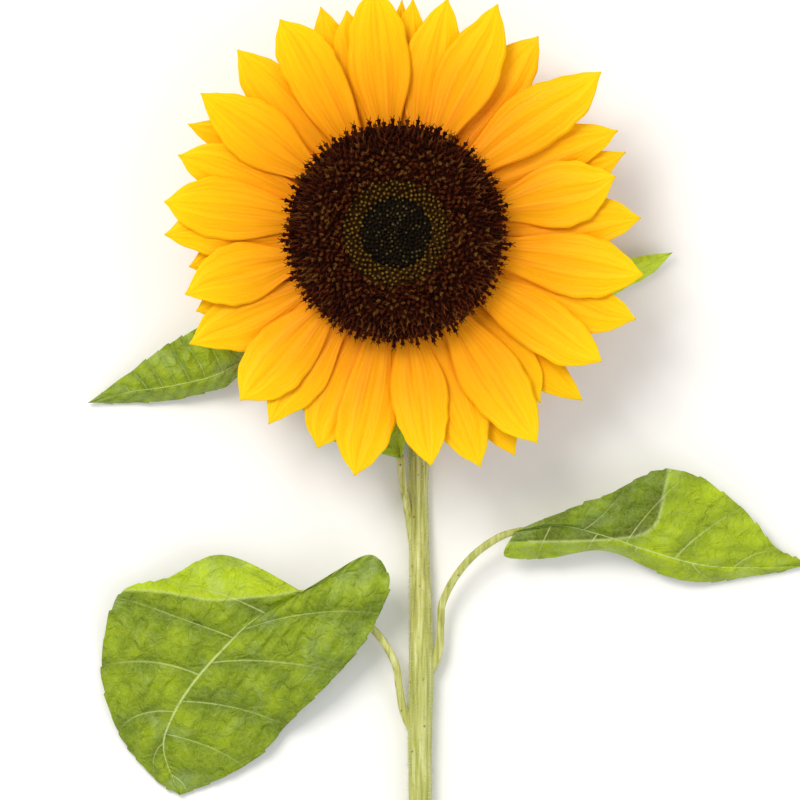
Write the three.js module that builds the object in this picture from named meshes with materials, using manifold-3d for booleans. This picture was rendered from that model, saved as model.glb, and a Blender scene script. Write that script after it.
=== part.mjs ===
// A cut sunflower lying on its back: the head faces up, the neck bends over
// behind it, and the stem and its leaves lie along the surface.
// Millimetres, +Z up. While it is built, the disc's axis is X = Y = 0, the stem
// runs towards -Y and the surface is Z = 0. At the end the whole flower is
// moved so that its origin is the middle of its footprint.

import * as THREE from 'three';
import { mergeVertices } from 'three/addons/utils/BufferGeometryUtils.js';
import Module from 'manifold-3d';

const wasm = await Module();
wasm.setup();

// ---- Driving dimensions ----------------------------------------------------

const CLEARANCE = 0.3;            // gap left between pieces that touch
const ROUND_SIDES = 40;           // facets round the disc and the receptacle

const DISC_RADIUS = 37;           // outer edge of the open florets
const DISC_RIM_HEIGHT = 3.2;      // upright outer edge of the florets
const DISC_CREST_HEIGHT = 7;      // highest florets above the disc's underside
const GOLD_RING_RADIUS = 18;      // outer edge of the ring of opening florets
const BUD_RADIUS = 11.8;          // outer edge of the closed buds
const BUD_HEIGHT = 3.4;           // middle of the disc, which is dished

const RECEPTACLE_RADIUS = 32;
const RECEPTACLE_RIM_HEIGHT = 5.2;
const RECEPTACLE_DEPTH = 10;      // from the rim's lower edge down to the neck
const SHOULDER_IN = 1.7;          // inner shoulder's radius over the neck's
const SHOULDER_IN_RISE = 0.22;    // its height as a share of the receptacle's depth
const SHOULDER_OUT = 0.68;        // outer shoulder's radius over the receptacle's
const SHOULDER_OUT_RISE = 0.62;   // its height as a share of the receptacle's depth
const NECK_RADIUS = 6;
const NECK_TOP = 19.7;            // height at which the stem meets the receptacle

const STEM_RADIUS = 3.9;          // where the stem is cut
const STEM_SIDES = 12;
const STEM_STEPS = 36;

const PETAL_THICKNESS = 0.6;
const PETAL_LAYER_GAP = 1.35;     // height between one layer of petals and the next
const PETAL_LAYERS = 4;
const PETAL_RISE = 3;             // how far the tips stand above the roots
const PETAL_FAN = 1.3;            // how far the layers spread apart at the tips
const PETAL_ROOT_SHARE = 0.46;    // width of the root as a share of the widest part
const PETAL_CAMBER = 0.5;
const PETAL_BOW = 0.35;           // sideways bow as a share of how far the root leans

const BRACT_COUNT = 12;
const BRACT_THICKNESS = 0.8;
const BRACT_WIDTH = 13.5;
const BRACT_ROOT_RADIUS = 24;
const BRACT_TIP_RADIUS = 50;

const LEAF_THICKNESS = 0.8;
const BLADE_START = 0.04;         // share of the midrib where the blade is first full width
const BLADE_END = 0.99;
const STALK_END = 0.2;            // share of the midrib that the stalk runs on beneath the blade
const PETIOLE_RADIUS = 1.4;
const SLIVER = 0.15;               // corners closer than this are merged where stalk and blade join

// ---- Colours ---------------------------------------------------------------

const PETAL_COLOURS = [0xf7a500, 0xffb000, 0xffba00, 0xffc800];
const DISC_COLOUR = 0x3e1a06;
const GOLD_COLOUR = 0x6b4a12;
const BUD_COLOUR = 0x241a0a;
const STEM_COLOUR = 0xb3b562;
const BRACT_COLOUR = 0x7f9a2a;
const LEAF_COLOUR = 0x86a41c;

// ---- Heights worked out from the sizes above --------------------------------

const receptacleBottom = NECK_TOP + CLEARANCE;
const rimBottom = receptacleBottom + RECEPTACLE_DEPTH;
const rimTop = rimBottom + RECEPTACLE_RIM_HEIGHT;
const discBottom = rimTop + CLEARANCE;
const petalRootRadius = RECEPTACLE_RADIUS + CLEARANCE;
const topPetalHeight = discBottom - CLEARANCE - PETAL_THICKNESS;

// ---- Petals: tip angle, reach, width, lean of the root, layer (3 on top) -----

const PETALS = [
  { angle: 95.4, reach: 82, width: 20.5, lean: 0, layer: 3, blunt: 1 },
  { angle: 88.5, reach: 78.6, width: 9, lean: 1, layer: 0, blunt: 0 },
  { angle: 87, reach: 78.6, width: 14, lean: -4, layer: 1, blunt: 0 },
  { angle: 78, reach: 80.3, width: 19.5, lean: -1, layer: 2, blunt: 0.2 },
  { angle: 64.5, reach: 83.6, width: 20.5, lean: 2, layer: 3, blunt: 0.1 },
  { angle: 54.9, reach: 81.5, width: 18, lean: -2, layer: 0, blunt: 0.3 },
  { angle: 36.4, reach: 87, width: 20.5, lean: 5, layer: 3, blunt: 0.3 },
  { angle: 24.8, reach: 82, width: 17, lean: 4, layer: 1, blunt: 0.2 },
  { angle: 17.9, reach: 81.8, width: 15, lean: 2, layer: 0, blunt: 0 },
  { angle: 12.5, reach: 76, width: 20.5, lean: 1, layer: 2, blunt: 0.7 },
  { angle: 4.5, reach: 82.3, width: 20.5, lean: -3, layer: 1, blunt: 0.2 },
  { angle: -9.8, reach: 84.2, width: 21.5, lean: -1, layer: 3, blunt: 0.2 },
  { angle: -21.5, reach: 85.5, width: 20.5, lean: 1, layer: 2, blunt: 0.3 },
  { angle: -33.2, reach: 81.3, width: 20.5, lean: 2, layer: 3, blunt: 0.3 },
  { angle: -42.7, reach: 84.2, width: 16, lean: 0, layer: 0, blunt: 0 },
  { angle: -47.8, reach: 74.9, width: 16, lean: 0, layer: 1, blunt: 0.2 },
  { angle: -56.4, reach: 84.9, width: 20.5, lean: 0, layer: 3, blunt: 0.6 },
  { angle: -61, reach: 84.8, width: 17, lean: -2, layer: 0, blunt: 0.2 },
  { angle: -70.2, reach: 83.5, width: 20.5, lean: -1, layer: 2, blunt: 0.3 },
  { angle: -81.8, reach: 79, width: 19.5, lean: 0, layer: 3, blunt: 0.3 },
  { angle: -100.4, reach: 82.6, width: 21.5, lean: 3, layer: 2, blunt: 0.3 },
  { angle: -111, reach: 76.8, width: 20.5, lean: 2, layer: 1, blunt: 0.5 },
  { angle: -124.7, reach: 77, width: 17, lean: 2, layer: 2, blunt: 0 },
  { angle: -132.5, reach: 76.6, width: 21.5, lean: -1, layer: 3, blunt: 0.6 },
  { angle: -152.7, reach: 78.5, width: 19.5, lean: 5, layer: 2, blunt: 0.1 },
  { angle: -157.2, reach: 71.9, width: 17, lean: 0, layer: 1, blunt: 0.3 },
  { angle: -165.3, reach: 73.5, width: 19.5, lean: 0, layer: 3, blunt: 0.3 },
  { angle: -172.5, reach: 70.3, width: 17, lean: 1, layer: 0, blunt: 0.1 },
  { angle: 179.2, reach: 77.5, width: 19.5, lean: 0, layer: 2, blunt: 0.1 },
  { angle: 172.5, reach: 78.2, width: 21.5, lean: -1, layer: 3, blunt: 0.3 },
  { angle: 159.4, reach: 77.4, width: 16.5, lean: 1, layer: 2, blunt: 0.6 },
  { angle: 151.1, reach: 78.8, width: 16, lean: -1, layer: 0, blunt: 0 },
  { angle: 144.5, reach: 80.2, width: 19.5, lean: 0, layer: 3, blunt: 0.3 },
  { angle: 131.4, reach: 81.2, width: 19.5, lean: -1, layer: 1, blunt: 0 },
  { angle: 125, reach: 67, width: 14.5, lean: 0, layer: 0, blunt: 1 },
  { angle: 117.8, reach: 81.1, width: 20.5, lean: -1, layer: 3, blunt: 0.5 },
  { angle: 109.4, reach: 80, width: 14.5, lean: -1, layer: 0, blunt: 0.1 },
  { angle: 103.7, reach: 76.3, width: 17, lean: -2, layer: 1, blunt: 0.1 },
];

// ---- Stem: centre line X, Y, height and radius along its length --------------

const STEM_STATIONS = [
  { x: 8.6, y: -246, radius: STEM_RADIUS },
  { x: 8.3, y: -192, radius: STEM_RADIUS },
  { x: 8.2, y: -168, radius: STEM_RADIUS + 0.2 },
  { x: 8.7, y: -143, radius: STEM_RADIUS + 0.3 },
  { x: 7.9, y: -108, radius: STEM_RADIUS - 0.4 },
  { x: 7.5, y: -90, radius: STEM_RADIUS - 0.5 },
  { x: 7.6, y: -70, radius: STEM_RADIUS - 0.5 },
  { x: 6.6, y: -46, radius: STEM_RADIUS - 0.4 },
  { x: 4.4, y: -27, height: 4.6, radius: STEM_RADIUS },
  { x: 2, y: -12.5, height: 7.4, radius: STEM_RADIUS + 0.4 },
  { x: 0.6, y: -4, height: 11.6, radius: STEM_RADIUS + 0.9 },
  { x: 0, y: -0.1, height: NECK_TOP - 3, radius: NECK_RADIUS - 0.6 },
  { x: 0, y: 0, height: NECK_TOP, radius: NECK_RADIUS },
];

// ---- Leaves: midrib, left and right margins, and the stalk, as X, Y, Z -------

const LEAVES = {
  leaf_lower_left: {
    midrib: [[-30.6, -121.4, 14], [-47.3, -130.2, 15], [-56.8, -138.7, 13.5], [-68.7, -152, 10.5],
      [-76.2, -164.2, 7.5], [-78.9, -175.1, 4.5], [-73.4, -190.4, 1.4]],
    right: [[-30.6, -121.4, 14], [-58, -108.6, 10], [-78, -116.8, 8], [-93, -121.5, 6],
      [-99.8, -143, 2.4], [-96, -164.9, 1.4], [-84.6, -181.9, 1.4], [-73.4, -190.4, 1.4]],
    left: [[-30.6, -121.4, 14], [-9.5, -108.4, 17], [-2.6, -120, 16], [-14, -142, 14],
      [-34, -162.9, 7], [-50, -179.4, 2.4], [-73.4, -190.4, 1.4]],
    stalk: [[3.1, -161, 5.2], [1.2, -154, 6.4], [-0.6, -144.5, 8], [-7.5, -134, 9.4],
      [-18, -127.5, 11]],
  },
  leaf_right: {
    midrib: [[40.5, -100.6, 12], [55.8, -98.6, 13], [71.4, -102.3, 12.5], [85, -107.1, 11],
      [104.7, -112.3, 8], [124, -113, 4.5], [141, -112, 1.4]],
    left: [[40.5, -100.6, 12], [48.3, -97, 14], [69.4, -89.1, 16], [92.8, -79.6, 13],
      [114, -90, 9], [129, -106.2, 5], [141, -112, 1.4]],
    right: [[40.5, -100.6, 12], [37, -109, 8], [52, -109.6, 7], [72, -107.4, 7],
      [98, -117.4, 3.5], [122, -115.8, 1.4], [141, -112, 1.4]],
    stalk: [[14.4, -141, 5.2], [15.2, -132, 6], [15.8, -125, 7], [20, -116.3, 8.3],
      [26.5, -108.5, 9.7], [34.3, -102.9, 11]],
  },
  leaf_upper_left: {
    midrib: [[-46.6, -39.4, 12], [-59.8, -47.2, 12], [-70.7, -50.3, 10.5], [-80, -52, 8.5],
      [-91.5, -53.6, 5.5], [-104.7, -57.1, 1.8]],
    right: [[-46.6, -39.4, 12], [-58, -28.5, 13], [-71.4, -34.3, 11], [-80.5, -39.6, 8.5],
      [-91, -47.4, 5], [-104.7, -57.1, 1.8]],
    left: [[-46.6, -39.4, 12], [-56, -50.4, 9], [-66, -53.8, 6], [-77, -56.2, 3],
      [-90, -57, 1.6], [-104.7, -57.1, 1.8]],
    stalk: [[2.6, -61, 3.6], [-6, -60, 3.2], [-20, -56, 3.6], [-34, -48.5, 6.4]],
  },
  leaf_upper_right: {
    midrib: [[56, -34, 9], [66, -23, 9.5], [76, -15, 9], [86, -9.8, 7], [94, -6, 4]],
    left: [[56, -34, 9], [58, -22, 11], [68, -12, 11], [82, -7.6, 8], [94, -6, 4]],
    right: [[56, -34, 9], [66, -27, 6], [76, -19.2, 5], [86.5, -13.4, 4], [94, -6, 4]],
    stalk: [[11.6, -62, 4.2], [22, -58.5, 4.6], [36, -50, 6], [48, -40.6, 8]],
  },
  leaf_small: {
    midrib: [[1.6, -76, 9.6], [-0.7, -70.5, 11], [-7, -65.5, 12], [-19, -61, 11.5], [-33, -57.5, 9.6]],
    left: [[1.6, -76, 9.6], [-5.6, -74, 10], [-13, -71, 10], [-23, -69, 9.6], [-33, -57.5, 9.6]],
    right: [[1.6, -76, 9.6], [3.4, -68.5, 13], [1.4, -59, 15], [-17, -56.4, 13], [-33, -57.5, 9.6]],
    stalk: [[2.4, -106, 5.2], [2.3, -98, 6.6], [2, -89, 8], [1.8, -82, 9]],
  },
};

// ---- Small helpers -----------------------------------------------------------

const radians = THREE.MathUtils.degToRad;
const { smoothstep, lerp } = THREE.MathUtils;

/** Bends a unit box into a closed sheet; place(u, v, side) gives each corner's point. */
function bentSheet(across, along, thickness, place) {
  const box = new THREE.BoxGeometry(2, 1, 1, across, along, 1);
  const corners = box.attributes.position;
  const point = new THREE.Vector3();
  for (let i = 0; i < corners.count; i += 1) {
    place(corners.getY(i) + 0.5, corners.getX(i), point);
    point.z += corners.getZ(i) * thickness;
    corners.setXYZ(i, point.x, point.y, point.z);
  }
  return box;
}

/** A closed rod along a curve, its radius following the length. */
function bentRod(curve, radiusAt, sides, steps) {
  const rod = new THREE.CylinderGeometry(1, 1, 1, sides, steps);
  const corners = rod.attributes.position;
  const tangent = new THREE.Vector3();
  const aside = new THREE.Vector3();
  const above = new THREE.Vector3();
  const centre = new THREE.Vector3();
  for (let i = 0; i < corners.count; i += 1) {
    const along = corners.getY(i) + 0.5;
    curve.getPointAt(along, centre);
    curve.getTangentAt(along, tangent);
    aside.set(-tangent.y, tangent.x, 0);
    if (aside.length() < 0.05) {
      aside.set(-1, 0, 0);
    }
    aside.normalize();
    above.crossVectors(aside, tangent).normalize();
    const radius = radiusAt(along);
    centre.addScaledVector(aside, corners.getX(i) * radius);
    centre.addScaledVector(above, corners.getZ(i) * radius);
    corners.setXYZ(i, centre.x, centre.y, centre.z);
  }
  return rod;
}

/** A three.js geometry as a manifold solid, its seams merged. */
function asSolid(geometry) {
  const bare = geometry.clone();
  bare.deleteAttribute('normal');
  bare.deleteAttribute('uv');
  const merged = mergeVertices(bare, 1e-4);
  return new wasm.Manifold(new wasm.Mesh({
    numProp: 3,
    vertProperties: new Float32Array(merged.attributes.position.array),
    triVerts: new Uint32Array(merged.index.array),
  }));
}

/** A manifold solid as a three.js geometry. */
function asGeometry(solid) {
  const mesh = solid.getMesh();
  const geometry = new THREE.BufferGeometry();
  geometry.setAttribute('position', new THREE.BufferAttribute(mesh.vertProperties, 3));
  geometry.setIndex(new THREE.BufferAttribute(mesh.triVerts, 1));
  geometry.computeVertexNormals();
  return geometry;
}

/** A smooth curve through hand-placed points. */
function smoothCurve(points) {
  return new THREE.CatmullRomCurve3(points.map(([x, y, z]) => new THREE.Vector3(x, y, z)));
}

const flower = new THREE.Group();

/** Adds a named piece to the flower. */
function addPiece(name, geometry, colour, roughness) {
  const material = new THREE.MeshStandardMaterial({ color: colour, roughness, metalness: 0 });
  const mesh = new THREE.Mesh(geometry, material);
  mesh.name = name;
  flower.add(mesh);
}

// ---- Disc and receptacle ------------------------------------------------------

/** A solid turned about the disc's axis from [radius, height] pairs. */
function turned(profile) {
  const outline = profile.map(([radius, height]) => new THREE.Vector2(radius, height));
  const solid = new THREE.LatheGeometry(outline, ROUND_SIDES);
  solid.rotateX(Math.PI / 2);
  return solid;
}

const goldInner = BUD_RADIUS + CLEARANCE;
const goldOuter = GOLD_RING_RADIUS - CLEARANCE;
const crestRadius = lerp(GOLD_RING_RADIUS, DISC_RADIUS, 0.55);
const goldHeight = lerp(BUD_HEIGHT, DISC_CREST_HEIGHT, 0.55);

addPiece('disc_open_florets', turned([
  [GOLD_RING_RADIUS, discBottom],
  [DISC_RADIUS - 0.6, discBottom],
  [DISC_RADIUS, discBottom + DISC_RIM_HEIGHT],
  [lerp(crestRadius, DISC_RADIUS, 0.6), discBottom + lerp(DISC_RIM_HEIGHT, DISC_CREST_HEIGHT, 0.8)],
  [crestRadius, discBottom + DISC_CREST_HEIGHT],
  [lerp(GOLD_RING_RADIUS, crestRadius, 0.4), discBottom + DISC_CREST_HEIGHT - 0.7],
  [GOLD_RING_RADIUS, discBottom + goldHeight],
  [GOLD_RING_RADIUS, discBottom],
]), DISC_COLOUR, 0.9);

addPiece('disc_opening_florets', turned([
  [goldInner, discBottom],
  [goldOuter, discBottom],
  [goldOuter, discBottom + goldHeight],
  [goldInner, discBottom + BUD_HEIGHT],
  [goldInner, discBottom],
]), GOLD_COLOUR, 0.85);

addPiece('disc_closed_buds', turned([
  [0, discBottom],
  [BUD_RADIUS, discBottom],
  [BUD_RADIUS, discBottom + BUD_HEIGHT],
  [BUD_RADIUS * 0.5, discBottom + BUD_HEIGHT + 0.3],
  [0, discBottom + BUD_HEIGHT + 0.6],
]), BUD_COLOUR, 0.85);

const innerShoulder = NECK_RADIUS * SHOULDER_IN;
const innerShoulderHeight = receptacleBottom + RECEPTACLE_DEPTH * SHOULDER_IN_RISE;
const outerShoulder = RECEPTACLE_RADIUS * SHOULDER_OUT;
const outerShoulderHeight = receptacleBottom + RECEPTACLE_DEPTH * SHOULDER_OUT_RISE;

addPiece('receptacle', turned([
  [0, receptacleBottom],
  [NECK_RADIUS, receptacleBottom],
  [innerShoulder, innerShoulderHeight],
  [outerShoulder, outerShoulderHeight],
  [RECEPTACLE_RADIUS - 1, rimBottom],
  [RECEPTACLE_RADIUS, rimBottom + 1],
  [RECEPTACLE_RADIUS, rimTop],
  [0, rimTop],
]), BRACT_COLOUR, 0.8);

// ---- Petals -------------------------------------------------------------------

/** Half the width of a petal along its length, as a share of the widest part. */
function petalShare(along, blunt) {
  const opening = lerp(PETAL_ROOT_SHARE, 1, smoothstep(along, 0, 0.5));
  const closing = Math.max(0, (along - 0.5) / 0.5);
  const taper = 1 - closing ** lerp(2.1, 3.4, blunt);
  return opening * Math.max(taper, 0.04);
}

/** One petal, from beneath the disc's edge to its pointed tip. */
function petal({ angle, reach, width, lean, layer, blunt }) {
  const tip = new THREE.Vector2(Math.cos(radians(angle)), Math.sin(radians(angle))).multiplyScalar(reach);
  const rootAngle = radians(angle + lean);
  const root = new THREE.Vector2(Math.cos(rootAngle), Math.sin(rootAngle)).multiplyScalar(petalRootRadius);
  const chord = tip.clone().sub(root).normalize();
  const length = root.distanceTo(tip);
  const bow = -Math.sin(radians(lean)) * length * PETAL_BOW;
  const rootHeight = topPetalHeight - (PETAL_LAYERS - 1 - layer) * PETAL_LAYER_GAP;
  const middleLayer = (PETAL_LAYERS - 1) / 2;
  return bentSheet(2, 9, PETAL_THICKNESS, (along, aside, point) => {
    const off = aside * petalShare(along, blunt) * width / 2 + bow * Math.sin(Math.PI * along);
    const forward = along * length;
    const rise = PETAL_RISE * along * along * (1.5 - 0.5 * along);
    const fan = (layer - middleLayer) * PETAL_FAN * along * along;
    const camber = PETAL_CAMBER * aside * aside * smoothstep(along, 0, 0.3);
    point.set(
      root.x + chord.x * forward + chord.y * off,
      root.y + chord.y * forward - chord.x * off,
      rootHeight + rise + fan - camber,
    );
  });
}

PETALS.forEach((spec, index) => {
  const name = `petal_${String(index + 1).padStart(2, '0')}`;
  addPiece(name, petal(spec), PETAL_COLOURS[spec.layer], 0.6);
});

// ---- Bracts -------------------------------------------------------------------

/** Height of the receptacle's underside at a distance from the axis. */
function undersideHeight(radius) {
  if (radius < outerShoulder) {
    const share = (radius - innerShoulder) / (outerShoulder - innerShoulder);
    return lerp(innerShoulderHeight, outerShoulderHeight, share);
  }
  const share = (radius - outerShoulder) / (RECEPTACLE_RADIUS - 1 - outerShoulder);
  return lerp(outerShoulderHeight, rimBottom, Math.min(1, share));
}

/** One bract: out from under the receptacle, then down to rest on its tip. */
function bract(angle) {
  const rootHeight = undersideHeight(BRACT_ROOT_RADIUS) - CLEARANCE - BRACT_THICKNESS * 1.3;
  const tipHeight = BRACT_THICKNESS / 2;
  return bentSheet(2, 7, BRACT_THICKNESS, (along, aside, point) => {
    const radius = lerp(BRACT_ROOT_RADIUS, BRACT_TIP_RADIUS, Math.sin(along * Math.PI / 2) ** 0.9);
    const share = lerp(0.62, 1, smoothstep(along, 0, 0.3)) * (1 - Math.max(0, along - 0.25) / 0.77);
    const off = aside * share * BRACT_WIDTH / 2;
    const fall = along ** 2.4;
    const cup = 1.2 * aside * aside * share * (1 - along);
    point.set(
      Math.cos(angle) * radius + Math.sin(angle) * off,
      Math.sin(angle) * radius - Math.cos(angle) * off,
      lerp(rootHeight - cup, tipHeight, fall),
    );
  });
}

for (let i = 0; i < BRACT_COUNT; i += 1) {
  const angle = (i + 0.5) * 2 * Math.PI / BRACT_COUNT - Math.PI / 2;
  addPiece(`bract_${String(i + 1).padStart(2, '0')}`, bract(angle), BRACT_COLOUR, 0.75);
}

// ---- Stem ---------------------------------------------------------------------

const stemCurve = new THREE.CatmullRomCurve3(
  STEM_STATIONS.map(({ x, y, height, radius }) => new THREE.Vector3(x, y, height ?? radius)),
);
const stemRadii = new THREE.CatmullRomCurve3(
  STEM_STATIONS.map(({ radius }, index) => new THREE.Vector3(index, radius, 0)),
);

/** The stem's radius at a share of its length. */
function stemRadius(along) {
  const place = stemCurve.getUtoTmapping(along);
  return stemRadii.getPoint(place).y;
}

addPiece('stem', bentRod(stemCurve, stemRadius, STEM_SIDES, STEM_STEPS), STEM_COLOUR, 0.65);

// ---- Leaves -------------------------------------------------------------------

/** The stem's centre line X and its radius where it passes a given Y. */
function stemAt(y) {
  const next = Math.max(1, STEM_STATIONS.findIndex((station) => station.y > y));
  const before = STEM_STATIONS[next - 1];
  const after = STEM_STATIONS[next];
  const share = (y - before.y) / (after.y - before.y);
  return { x: lerp(before.x, after.x, share), radius: lerp(before.radius, after.radius, share) };
}

/** A stalk's points, moved sideways where they would come too near the stem. */
function besideStem(stalk) {
  const side = Math.sign(stalk[0][0] - stemAt(stalk[0][1]).x);
  return stalk.map(([x, y, z]) => {
    const stem = stemAt(y);
    const nearest = stem.x + side * (stem.radius + PETIOLE_RADIUS + CLEARANCE);
    return [side < 0 ? Math.min(x, nearest) : Math.max(x, nearest), y, z];
  });
}

/** One leaf: the blade between its two margins, with its stalk joined on beneath. */
function leaf({ midrib, left, right, stalk }) {
  const rib = smoothCurve(midrib);
  const edges = { left: smoothCurve(left), right: smoothCurve(right) };
  const ribPoint = new THREE.Vector3();
  const edgePoint = new THREE.Vector3();
  const blade = bentSheet(6, 15, LEAF_THICKNESS, (along, aside, point) => {
    const place = lerp(BLADE_START, BLADE_END, along);
    rib.getPoint(place, ribPoint);
    const edge = aside < 0 ? edges.left : edges.right;
    edge.getPoint(place, edgePoint);
    point.lerpVectors(ribPoint, edgePoint, Math.abs(aside));
    point.z += Math.sin(Math.PI * Math.abs(aside)) * 0.6 * smoothstep(along, 0, 0.3);
    point.z = Math.max(point.z, LEAF_THICKNESS / 2);
  });
  const beneath = new THREE.Vector3(0, 0, -LEAF_THICKNESS / 2);
  const joined = [0, BLADE_START * 1.5, STALK_END].map((place) => rib.getPoint(place).add(beneath));
  const route = [...besideStem(stalk), ...joined.map((point) => point.toArray())];
  const rod = bentRod(smoothCurve(route), () => PETIOLE_RADIUS, 8, 14);
  return asGeometry(asSolid(blade).add(asSolid(rod)).simplify(SLIVER));
}

for (const [name, outline] of Object.entries(LEAVES)) {
  addPiece(name, leaf(outline), LEAF_COLOUR, 0.7);
}

// ---- Origin at the middle of the footprint --------------------------------------

const extent = new THREE.Box3().setFromObject(flower, true);
const middle = extent.getCenter(new THREE.Vector3());
flower.position.set(-middle.x, -middle.y, -extent.min.z);

export default flower;
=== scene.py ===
"""A cut sunflower lying on its back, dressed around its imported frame.

The head faces straight up and the camera looks straight down on it. Every
length is in metres, written as millimetres times MM, and the head, petals,
bracts and stem take their places from the frame's own solids.
"""

from __future__ import annotations

import logging
import math
import random
from dataclasses import dataclass, field
from enum import Enum
from typing import Callable, Mapping, Sequence

import bmesh
import bpy
from mathutils import Matrix, Vector, noise
from mathutils.bvhtree import BVHTree


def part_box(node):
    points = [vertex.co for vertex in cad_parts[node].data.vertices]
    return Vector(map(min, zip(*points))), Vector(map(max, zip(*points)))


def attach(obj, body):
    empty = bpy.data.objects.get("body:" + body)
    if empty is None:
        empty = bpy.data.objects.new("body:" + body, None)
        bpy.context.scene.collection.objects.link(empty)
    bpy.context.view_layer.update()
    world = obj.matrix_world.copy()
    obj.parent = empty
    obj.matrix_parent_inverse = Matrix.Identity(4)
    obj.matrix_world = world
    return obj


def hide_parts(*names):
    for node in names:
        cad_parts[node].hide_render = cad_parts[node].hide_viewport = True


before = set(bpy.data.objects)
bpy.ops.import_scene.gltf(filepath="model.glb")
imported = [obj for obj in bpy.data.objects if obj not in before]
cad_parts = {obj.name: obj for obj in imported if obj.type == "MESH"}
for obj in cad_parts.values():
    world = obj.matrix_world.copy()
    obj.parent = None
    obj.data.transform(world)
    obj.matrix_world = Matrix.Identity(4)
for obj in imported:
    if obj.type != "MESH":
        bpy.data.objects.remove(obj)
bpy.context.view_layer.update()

MM = 0.001
GOLDEN_ANGLE = math.pi * (3 - math.sqrt(5))
UP = Vector((0, 0, 1))
log = logging.getLogger("sunflower")

Tree = bpy.types.NodeTree
Socket = bpy.types.NodeSocket
Piece = bpy.types.Object
Shape = bmesh.types.BMesh
Place = Callable[[float, float], Vector]
Value = Callable[[float, float], float]
Points = Sequence[tuple[float, float, float]]


class Slot(Enum):
    """The record's material slots."""

    PETAL = "petal_yellow"
    BROWN = "floret_brown"
    GOLD = "floret_gold"
    BUD = "floret_bud"
    STEM = "stem_green"
    BRACT = "bract_green"
    LEAF = "leaf_green"


# ---- Numbers and curves ----------------------------------------------------


def linear(code: str) -> tuple[float, float, float, float]:
    """Turns an sRGB hex colour into linear light.

    Args:
        code: the colour as "#rrggbb".

    Returns:
        The colour as linear red, green, blue and alpha.
    """
    shares = [int(code[i:i + 2], 16) / 255 for i in (1, 3, 5)]
    lit = [s / 12.92 if s <= 0.04045 else ((s + 0.055) / 1.055) ** 2.4 for s in shares]
    return (*lit, 1.0)


def ease(value: float, low: float, high: float) -> float:
    """Rises smoothly from 0 at low to 1 at high."""
    share = min(1.0, max(0.0, (value - low) / (high - low)))
    return share * share * (3 - 2 * share)


def blend(low: float, high: float, share: float) -> float:
    """Goes from low to high in a straight line."""
    return low + (high - low) * share


def middle(points: Sequence[Vector]) -> Vector:
    """The mean of some points."""
    return sum(points, Vector((0, 0, 0))) / len(points)


def through(points: Sequence[Vector], place: float) -> Vector:
    """A point on the smooth curve through some points.

    Args:
        points: the points that the curve passes through, in order.
        place: 0 at the first point, 1 at the last.

    Returns:
        The point at that place.
    """
    scaled = min(max(place, 0.0), 1.0) * (len(points) - 1)
    start = min(int(scaled), len(points) - 2)
    share = scaled - start
    before = points[max(start - 1, 0)]
    here, there = points[start], points[start + 1]
    after = points[min(start + 2, len(points) - 1)]
    bend = 2 * before - 5 * here + 4 * there - after
    twist = 3 * here - before - 3 * there + after
    return 0.5 * (2 * here + (there - before) * share + bend * share ** 2 + twist * share ** 3)


def crossing(route: Sequence[Vector], at: float, step: float) -> tuple[Vector, Vector, Vector]:
    """Finds how a route runs at one place.

    Args:
        route: the points that it passes through.
        at: the place, 0 to 1.
        step: how far before and after it the direction is taken.

    Returns:
        The point there, and the directions to its side and up from it.
    """
    ahead = (through(route, at + step) - through(route, at - step)).normalized()
    aside = ahead.cross(UP).normalized()
    return through(route, at), aside, aside.cross(ahead)


def past_line(line: Sequence[Vector], point: Vector) -> float:
    """How far a point lies past a line, in plan.

    Args:
        line: the line's corners.
        point: the point.

    Returns:
        The distance, above 0 to the left of the line.
    """
    nearest, past = math.inf, -1.0
    for start, end in zip(line, line[1:]):
        run = end - start
        share = min(1.0, max(0.0, (point.xy - start).dot(run) / run.length_squared))
        offset = point.xy - (start + run * share)
        if offset.length < nearest:
            nearest = offset.length
            past = math.copysign(nearest, run.x * offset.y - run.y * offset.x)
    return past


def disc_axis() -> Vector:
    """The point at the middle of the disc's underside."""
    low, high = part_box("disc_open_florets")
    return Vector(((low[0] + high[0]) / 2, (low[1] + high[1]) / 2, low[2]))


def placed(points: Points) -> list[Vector]:
    """Moves points in millimetres from the disc's axis into the frame's place."""
    axis = disc_axis()
    return [Vector((axis.x + x * MM, axis.y + y * MM, z * MM)) for x, y, z in points]


# ---- Shapes and pieces -----------------------------------------------------


def add_to_scene(name: str, data: bpy.types.ID) -> bpy.types.Object:
    """Makes an object of a mesh, a light or a camera and links it to the scene."""
    thing = bpy.data.objects.new(name, data)
    bpy.context.scene.collection.objects.link(thing)
    return thing


def to_mesh(shape: Shape, name: str) -> bpy.types.Mesh:
    """Turns a bmesh, which it frees, into a mesh."""
    mesh = bpy.data.meshes.new(name)
    shape.to_mesh(mesh)
    shape.free()
    return mesh


def settle(
    shape: Shape, name: str, materials: Sequence[bpy.types.Material], slot: Slot, node: str,
    smooth: bool = True, thickness: float = 0.0,
) -> Piece:
    """Turns a finished bmesh into a piece that stands for a CAD node.

    Args:
        shape: the shape, in the frame's own place. It is freed.
        name: the piece's name.
        materials: its finishes.
        slot: the record's slot for it; not used.
        node: the CAD node that it replaces.
        smooth: whether its faces shade smoothly.
        thickness: the wall that a single sheet gains below it.

    Returns:
        The piece, riding on the root body.
    """
    for face in shape.faces:
        face.smooth = smooth
    mesh = to_mesh(shape, name)
    for material in materials:
        mesh.materials.append(material)
    piece = add_to_scene(name, mesh)
    if thickness:
        wall = piece.modifiers.new("thickness", "SOLIDIFY")
        wall.thickness = thickness
        wall.offset = -1
    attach(piece, "root")
    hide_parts(node)
    return piece


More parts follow.
